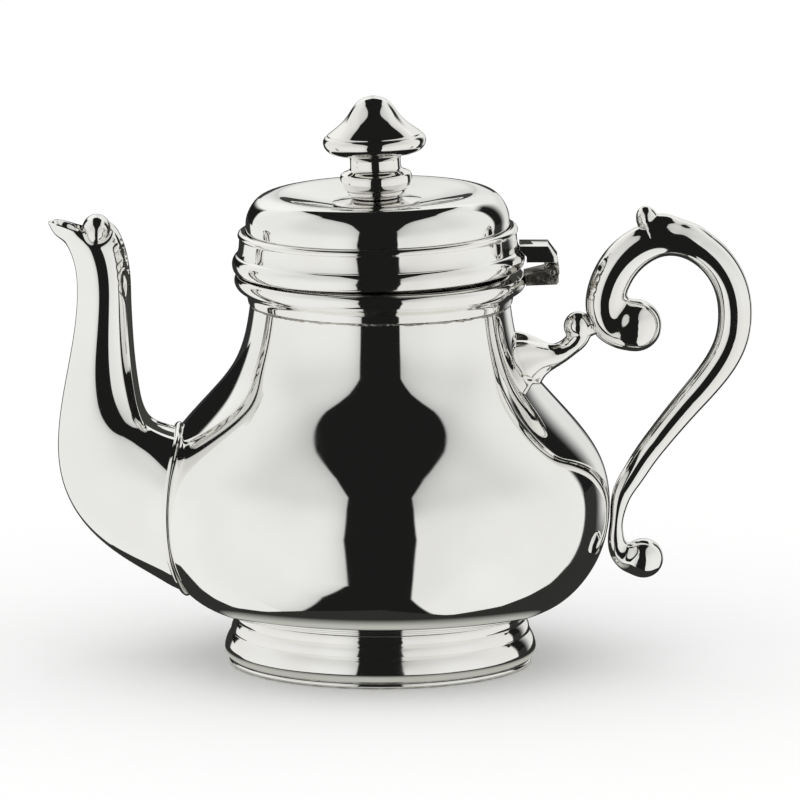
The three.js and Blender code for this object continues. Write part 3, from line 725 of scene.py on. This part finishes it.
# ------------------------------------------------------------------ handle
# middle line from the upper curl to the lower curl: x, z, half thickness, half width
HANDLE = [
    (74.6, 100.4, 5.3, 6.1), (70.2, 101.6, 5.6, 5.9), (67.6, 107.0, 6.0, 5.7), (68.2, 113.4, 6.0, 5.6),
    (71.4, 120.2, 5.9, 5.6), (77.2, 125.8, 5.7, 5.6), (84.6, 128.6, 5.4, 5.5), (92.4, 127.6, 5.2, 5.3),
    (99.8, 122.6, 5.1, 5.2), (104.8, 114.6, 5.1, 5.1), (106.3, 105.6, 5.1, 5.0), (104.9, 96.8, 4.9, 4.8),
    (100.2, 88.2, 4.6, 4.6), (92.4, 78.7, 4.2, 4.4), (83.7, 68.0, 3.8, 4.1), (79.0, 61.6, 3.6, 3.9),
    (75.6, 56.2, 3.4, 3.8), (72.7, 51.2, 3.0, 3.6), (71.4, 46.2, 2.35, 3.5), (70.9, 42.0, 2.0, 3.4),
    (70.8, 38.2, 2.4, 3.5), (71.3, 34.6, 2.8, 3.8), (73.0, 31.2, 3.0, 4.2), (75.8, 29.7, 3.5, 4.7),
    (78.4, 30.6, 4.4, 5.0),
]
UPPER_CURL = (76.4, 0, 102.2)
LOWER_CURL = (79.1, 0, 31.2)
scroll = sweep("handle_scroll_cast", HANDLE, 260, 64, 2.25)
for name, centre, radii in (
    ("upper_curl", UPPER_CURL, (8.2, 6.9, 8.2)),
    ("upper_curl_root", (73.2, 0, 100.9), (6.7, 6.6, 6.3)),
    ("lower_curl_root", (76.6, 0, 30.7), (4.7, 5.5, 4.7)),
    ("lower_curl", LOWER_CURL, (6.3, 5.9, 6.3)),
):
    scroll = combine(scroll, egg(name, centre, radii))
scroll = soften(scroll, 0.4, 5, [(UPPER_CURL, 8.5, 13.0), (LOWER_CURL, 6.5, 10.0)], 130)
finish_piece(scroll, CAST, "pot", ["handle_scroll"], sharp=60)

# the leaf lies over the top of the scroll like a saddle, with a curled crest at its front
LEAF = [
    (80.4, 129.6, 5.5, 5.4), (84.4, 130.6, 5.4, 5.5), (88.4, 129.5, 5.3, 5.4), (92.6, 128.1, 5.2, 5.3),
    (97.0, 125.2, 5.0, 5.1),
]
leaf = sweep("handle_thumb_leaf_cast", LEAF, 90, 64, 2.2)
leaf = combine(leaf, egg("leaf_crest", (79.9, 0, 134.2), (3.3, 4.0, 4.4), -0.3, 48, 32))
leaf = soften(leaf, 0.3, 8)
finish_piece(leaf, CAST, "pot", ["handle_thumb_leaf"], sharp=60)

# the socket runs from the body's wall to its own small curl, and a stub ties it to the scroll
SOCKET = [
    (42.0, 90.4, 10.6, 9.6), (45.0, 91.5, 8.6, 8.0), (48.2, 92.3, 5.9, 6.0), (51.0, 92.8, 4.1, 4.4),
    (54.0, 93.9, 3.2, 3.6), (57.0, 96.0, 3.0, 3.4), (59.6, 98.8, 3.2, 3.6), (60.8, 101.2, 2.8, 3.2),
]
STUB = [(59.6, 100.6, 3.0, 3.2), (61.6, 101.2, 2.8, 3.0), (64.2, 101.8, 2.4, 2.8)]
SOCKET_SINK = 0.5                               # how far the socket reaches into the body's wall


def fluting(share, angle):
    """Leaf veins that fade towards the waist."""
    return 0.55 * math.cos(7 * angle) * max(0.0, 1 - share / 0.55) ** 1.2


socket = sweep("handle_upper_socket_cast", SOCKET, 70, 84, 2.0, fluting)
socket = combine(socket, egg("socket_curl", (59.3, 0, 101.9), (4.35, 4.3, 4.5)))
socket = combine(socket, sweep("socket_stub", STUB, 12, 32))
cut_low, cut_high = 60, 116
inside_body = lathe("inside_body", [
    (0, cut_low), (float(body_radius(cut_low)) - SOCKET_SINK, cut_low),
    *[(r - SOCKET_SINK, z) for r, z in body_wall if z > cut_low + 1],
    (NECK_RADIUS - SOCKET_SINK, cut_high), (0, cut_high),
], steps=200, ring=False)
socket = soften(combine(socket, inside_body, "DIFFERENCE"), 0.26, 10)
finish_piece(socket, CAST, "pot", ["handle_upper_socket"], sharp=60)

# ------------------------------------------------------------------ hinge
bevelled("hinge_body_leaf", "hinge_lower_leaf", 0.25, NICKEL, "pot")
bevelled("hinge_pin", "hinge_pin_rod", 0.25, NICKEL, "pot")
bevelled("hinge_lid_leaf", "hinge_upper_leaf", 0.35, TRIM, "lid")

# ------------------------------------------------------------------ lid
dome_curve = spline([
    (39.5, 130.8), (39.45, 134.0), (38.1, 137.6), (35.6, 140.4), (31.0, 141.6), (26.6, 140.95),
    (20.5, 139.75), (14.4, 138.6), (8.0, 138.1), (STUD_HOLE, 138.0),
], 100)
DOME_FOOT = 39.3
dome_outer = [(DOME_FOOT, LID_SEAT + 0.4), (39.45, 124.0), *dome_curve]
dome_inner = offset(dome_outer, SHEET)
dome_inner[0] = (DOME_FOOT - SHEET, LID_SEAT + 0.4)
dome_inner[-1] = (STUD_HOLE, 137.0)
dome = lathe("lid_dome_spun", [*dome_outer, *dome_inner[::-1]], SHELL_STEPS, place=LID)
line_inside(dome, len(dome_outer) * SHELL_STEPS)
finish_piece(dome, SILVER, "lid", ["lid_dome"])

band_section = [
    (39.82, LID_SEAT), (42.6, LID_SEAT), (43.4, 118.9), (43.85, 120.2), (43.9, 121.4), (43.55, 122.6),
    (42.9, 123.5), (42.3, 123.9), (42.15, 124.3), (41.75, 126.0), (41.6, 128.0), (41.6, 128.9),
    (41.95, 129.2), (42.05, 129.7), (41.8, 130.3), (41.0, 130.75), (39.82, 130.8),
]
band = lathe("lid_band_ring", fillet(band_section, 0.5, 4), place=LID)
finish_piece(band, TRIM, "lid", ["lid_band"], sharp=46)

BEZEL_RADIUS = 36.2
BEZEL_LOW, FLANGE_TOP = 113.0, LID_SEAT + 1.6
flange_edge = DOME_FOOT - SHEET - 0.32          # the flange stays clear of the dome
bezel_section = [
    (BEZEL_RADIUS - SHEET, BEZEL_LOW), (BEZEL_RADIUS, BEZEL_LOW), (BEZEL_RADIUS, LID_SEAT),
    (flange_edge, LID_SEAT), (flange_edge, FLANGE_TOP), (BEZEL_RADIUS - SHEET, FLANGE_TOP),
]
bezel = lathe("lid_bezel_ring", fillet(bezel_section, 0.3, 3), place=LID)
finish_piece(bezel, INSIDE, "lid", ["lid_bezel"])

# ------------------------------------------------------------------ finial
plate_bottom = LID_CENTRE + 0.4
plate_section = [(radius, plate_bottom + rise) for radius, rise in (
    (STUD_HOLE, 0), (13.0, 0), (13.4, 0.2), (13.3, 0.45), (10.8, 0.75), (8.4, 1.0), (7.4, 1.25),
    (STUD_HOLE, 1.25),
)]
plate = lathe("finial_plate", fillet(plate_section, 0.3, 3), steps=160, place=FINIAL)
finish_piece(plate, TRIM, "lid", ["finial_base_plate"])

foot_of_knob = plate_bottom + 1.5
cap_curve = spline([
    (14.1, 159.4), (12.6, 160.5), (9.9, 162.7), (7.7, 165.2), (5.9, 167.8), (3.6, 169.9), (1.2, 170.7),
], 46)
brim_curve = spline([
    (12.0, 153.7), (13.7, 154.3), (15.0, 155.6), (15.45, 157.1), (15.1, 158.4), (14.5, 159.0),
], 26)
stem_curve = spline([(8.5, 148.3), (7.8, 148.9), (7.6, 150.4), (7.6, 151.9), (7.9, 152.9)], 22)
lower_ring = spline([(7.4, 141.0), (8.5, 141.3), (8.9, 142.0), (8.6, 142.7)], 12)
upper_ring = spline([
    (9.6, 142.9), (10.5, 143.3), (10.8, 144.3), (10.8, 146.0), (10.5, 147.3), (9.6, 147.9),
], 26)
bore_top = 155
knob_section = [
    (0, bore_top), (STUD_HOLE, bore_top), (STUD_HOLE, foot_of_knob), (7.2, foot_of_knob), (7.15, 140.8),
    *lower_ring, *upper_ring, *stem_curve, (8.2, 153.4), *brim_curve,
    (14.15, 159.05), *cap_curve, (0, 170.8),
]
knob = lathe("finial_knob_turned", fillet(knob_section, 0.16, 3, ring=False), 192, place=FINIAL, ring=False)
finish_piece(knob, CAST, "lid", ["finial_knob"], sharp=50)

bevelled("finial_stud", "finial_stud_rod", 0.2, NICKEL, "lid")
bevelled("finial_washer", "finial_washer_ring", 0.15, NICKEL, "lid")
bevelled("finial_nut", "finial_hex_nut", 0.2, NICKEL, "lid")


# ------------------------------------------------------------------ studio
def stage_mesh(name, verts, faces, material):
    mesh = bpy.data.meshes.new(name)
    mesh.from_pydata(verts, [], faces)
    mesh.materials.append(material)
    obj = bpy.data.objects.new(name, mesh)
    bpy.context.scene.collection.objects.link(obj)
    return obj


def glow(name):
    """Emission whose strength is stored on the mesh."""
    material = bpy.data.materials.new(name)
    material.use_nodes = True
    nodes, links = material.node_tree.nodes, material.node_tree.links
    nodes.clear()
    stored = nodes.new("ShaderNodeAttribute")
    stored.attribute_name = "glow"
    light = nodes.new("ShaderNodeEmission")
    links.new(stored.outputs["Color"], light.inputs["Color"])
    output = nodes.new("ShaderNodeOutputMaterial")
    links.new(light.outputs["Emission"], output.inputs["Surface"])
    material.cycles.emission_sampling = "NONE"
    return material


def light_mesh(name, verts, faces, surface, colours):
    """Emissive mesh with a colour for each vertex, seen only in reflections."""
    obj = stage_mesh(name, verts, faces, glow(surface))
    store = obj.data.color_attributes.new("glow", "FLOAT_COLOR", "POINT")
    store.data.foreach_set("color", colours)
    obj.visible_camera = False
    obj.visible_diffuse = False
    obj.visible_shadow = False
    obj.visible_transmission = False
    obj.visible_volume_scatter = False


def smooth(value, low, high):
    t = np.clip((value - low) / (high - low), 0, 1)
    return t * t * (3 - 2 * t)


def read(curve, at):
    """Straight lines through (place, value) pairs, read at each entry of at."""
    places, values = zip(*curve)
    return np.interp(at, places, values)


# half width of the tent's dark slit by the angle over the pot: 0 is level with the pot on the camera's side
UNDERNEATH = -100
SLIT = [
    (UNDERNEATH, 18), (-87, 14.4), (-65, 11), (-43, 13.7), (-9, 17.3), (21, 16), (36, 14.6), (56, 18.5),
    (66, 22), (74, 25.5), (83, 28), (90, 29), (98, 27), (120, 22.5), (131, 18), (133, -4), (180, -4),
]
SLIT_LOW_LEFT = [(UNDERNEATH, 22), (-67, 20.5), (-50, 14), (-43, 0)]
# height of the dark room behind the tent, by the angle round the pot from the camera
ROOM_TOP = [(138, 28), (150, 18), (165, 8), (180, 6)]


def tent_light(d):
    """Brightness of the white cloth tent in each direction from the pot, with all angles in degrees. A slit
    runs from under the camera up over the pot, the cloth ends behind the pot, and a dark card stands to the
    right behind the handle."""
    x, y, z = d[:, 0], d[:, 1], d[:, 2]
    over = np.degrees(np.arctan2(z, -y))
    aside = np.degrees(np.arcsin(np.clip(np.abs(x), 0, 1)))
    around = np.degrees(np.arctan2(np.abs(x), -y))
    rise = np.degrees(np.arcsin(np.clip(z, -1, 1)))
    right = x > 0
    slit = read(SLIT, over)
    slit = np.where(right, slit, np.maximum(slit, read(SLIT_LOW_LEFT, over)))
    cloth = smooth(aside - slit, -0.5, 0.5)
    shaded = np.exp(-np.maximum(aside - slit, 0) / 5)
    cloth = cloth * (1 - 0.32 * shaded * np.where(right, smooth(over, 0, 30), 1))
    cloth = np.where(over < UNDERNEATH, 1.0, cloth)

    top = read(ROOM_TOP, around)
    room = smooth(around, np.where(right, 168, 138), np.where(right, 178, 141))
    room = room * (1 - smooth(rise, top - 5, top + 3))
    floor = smooth(around, np.where(right, 120, 143), np.where(right, 122, 147)) * (z < 0)
    light = right * smooth(around, 133, 150) * (1 - smooth(around, 159, 168))
    floor = floor * (1 - 0.9 * light * (1 - smooth(-rise, 10, 20)))
    card = smooth(around, 119, 123) * (1 - 0.9 * smooth(around, 133, 150)) * (1 - smooth(rise, 32, 42))
    card = card * (1 - smooth(around, 170, 179)) * right * (z >= 0)
    dark = np.maximum.reduce([np.where(z < 0, 0, room), floor, card])

    front = 1 - smooth(around, 70, 110)
    tone = 0.86 - 0.13 * front * smooth(rise, 5, 35) + 0.12 * smooth(around, 120, 150) * smooth(rise, 10, 22)
    tone = tone - 0.07 * right * (1 - smooth(around, 20, 60)) + 0.03 * smooth(-rise, -14, 14)
    level = np.maximum(cloth * tone * (1 - dark), 0.012 + 0.02 * floor)
    return np.stack([level, level, level * 0.99, np.ones_like(level)], axis=1)


def make_tent():
    """A sphere round the pot, in metres, fine enough for the edges of the slit."""
    radius, height, columns, rows = 1.0, 0.09, 720, 360
    centre = Vector((AXIS_X, 0, height))
    polar = np.linspace(0, math.pi, rows + 1)
    turn = np.linspace(0, 2 * math.pi, columns, endpoint=False)
    grid_p, grid_t = np.meshgrid(polar, turn, indexing="ij")
    d = np.stack([np.sin(grid_p) * np.cos(grid_t), np.sin(grid_p) * np.sin(grid_t), np.cos(grid_p)], axis=-1)
    d = d.reshape(-1, 3)
    verts = d * radius + np.array(centre)
    index = np.arange((rows + 1) * columns).reshape(rows + 1, columns)
    right = np.roll(index, -1, axis=1)
    faces = np.stack([index[:-1], right[:-1], right[1:], index[1:]], axis=-1).reshape(-1, 4)
    colours = tent_light(d).astype(np.float32).ravel()
    light_mesh("light_tent", verts.tolist(), faces.tolist(), "tent_cloth", colours)


def make_floor():
    material = bpy.data.materials.new("pale_floor")
    nodes, links, shader = nodes_of(material)
    where = nodes.new("ShaderNodeTexCoord").outputs["Object"]
    cloud = ramp(nodes, links, noise_texture(nodes, links, where, 3, 3), 0.3, 0.7, 0.0, 1.0)
    links.new(mix_colour(nodes, links, cloud, (0.955, 0.955, 0.955), (0.965, 0.963, 0.96)),
              shader.inputs["Base Color"])
    shader.inputs["Roughness"].default_value = 0.9
    shader.inputs["Specular IOR Level"].default_value = 0.0
    reach = 10.0
    corners = [(-reach, -reach, 0), (reach, -reach, 0), (reach, reach, 0), (-reach, reach, 0)]
    floor = stage_mesh("floor", corners, [(0, 1, 2, 3)], material)
    floor.visible_glossy = False


def card_mesh(name, rings, faces):
    """Card made of rings of (points in mm, brightness), a little warm."""
    verts, colours = [], []
    for points, level in rings:
        verts += [(AXIS_X + x * MM, y * MM, z * MM) for x, y, z in points]
        colours += [level, level * 1.01, level * 0.94, 1.0] * len(points)
    light_mesh(name, verts, faces, name + "_surface", colours)


# reach of the dark stand in mm by angle round the pot: the handle is at 0, the viewer at -90 degrees
TABLE_REACH = [
    (-180, 78), (-172, 69), (-160, 62), (-140, 61), (-120, 65), (-90, 68), (-62, 61), (-38, 66), (-24, 74),
    (-10, 87), (2, 115), (20, 130), (140, 130), (165, 110), (180, 78),
]


def make_table():
    """What the underside of the pot mirrors: a dark stand, wider behind the pot, bright close to the foot."""
    steps, height, dark = 96, -0.4, 0.03
    angles = [2 * math.pi * j / steps - math.pi for j in range(steps)]
    rings = [([(r * math.cos(a), r * math.sin(a), height) for a in angles], level)
             for r, level in ((30, 0.5), (50, 0.5), (54, 0.3), (58, dark))]
    outline = read(TABLE_REACH, np.degrees(angles))
    rings.append(([(r * math.cos(a), r * math.sin(a), height) for r, a in zip(outline, angles)], dark))
    faces = []
    for i in range(len(rings) - 1):
        a, b = i * steps, (i + 1) * steps
        faces += [[a + j, a + (j + 1) % steps, b + (j + 1) % steps, b + j] for j in range(steps)]
    card_mesh("table", rings, faces)


def make_back_card():
    """Low dark card close behind the pot, which draws a dark edge on the back of the lid."""
    left, right, behind, top, level = -50, 45, 82, 152, 0.05
    corners = [(left, behind, 0), (right, behind, 0), (right, behind, top), (left, behind, top)]
    card_mesh("back_card", [(corners, level)], [(0, 1, 2, 3)])


def make_world():
    """Plain white light on the floor; the metal mirrors the tent instead."""
    world = bpy.data.worlds.new("white_studio")
    world.use_nodes = True
    background = world.node_tree.nodes["Background"]
    background.inputs["Color"].default_value = (1, 1, 1, 1)
    background.inputs["Strength"].default_value = 1.06
    bpy.context.scene.world = world
    world.cycles_visibility.glossy = False


def make_camera():
    """Long lens, a little above the pot, aimed at the middle of its width, a little under half its height."""
    low, high = cad_box
    distance, elevation = 4.0, math.radians(10.2)
    field = 0.240                               # width of the picture at the pot, in metres
    aim_share = 0.4624
    data = bpy.data.cameras.new("camera")
    data.sensor_width = 36.0
    data.lens = data.sensor_width * distance / field
    data.clip_start, data.clip_end = 0.1, 40.0
    camera = bpy.data.objects.new("camera", data)
    bpy.context.scene.collection.objects.link(camera)
    aim = Vector(((low[0] + high[0]) / 2, 0, low[2] + aim_share * (high[2] - low[2])))
    back = Vector((0, -math.cos(elevation), math.sin(elevation)))
    camera.location = aim + back * distance
    camera.rotation_mode = "QUATERNION"
    camera.rotation_quaternion = (-back).to_track_quat("-Z", "Y")
    bpy.context.scene.camera = camera


make_tent()
make_table()
make_back_card()
make_floor()
make_world()
make_camera()
bpy.context.scene.view_settings.view_transform = "Standard"
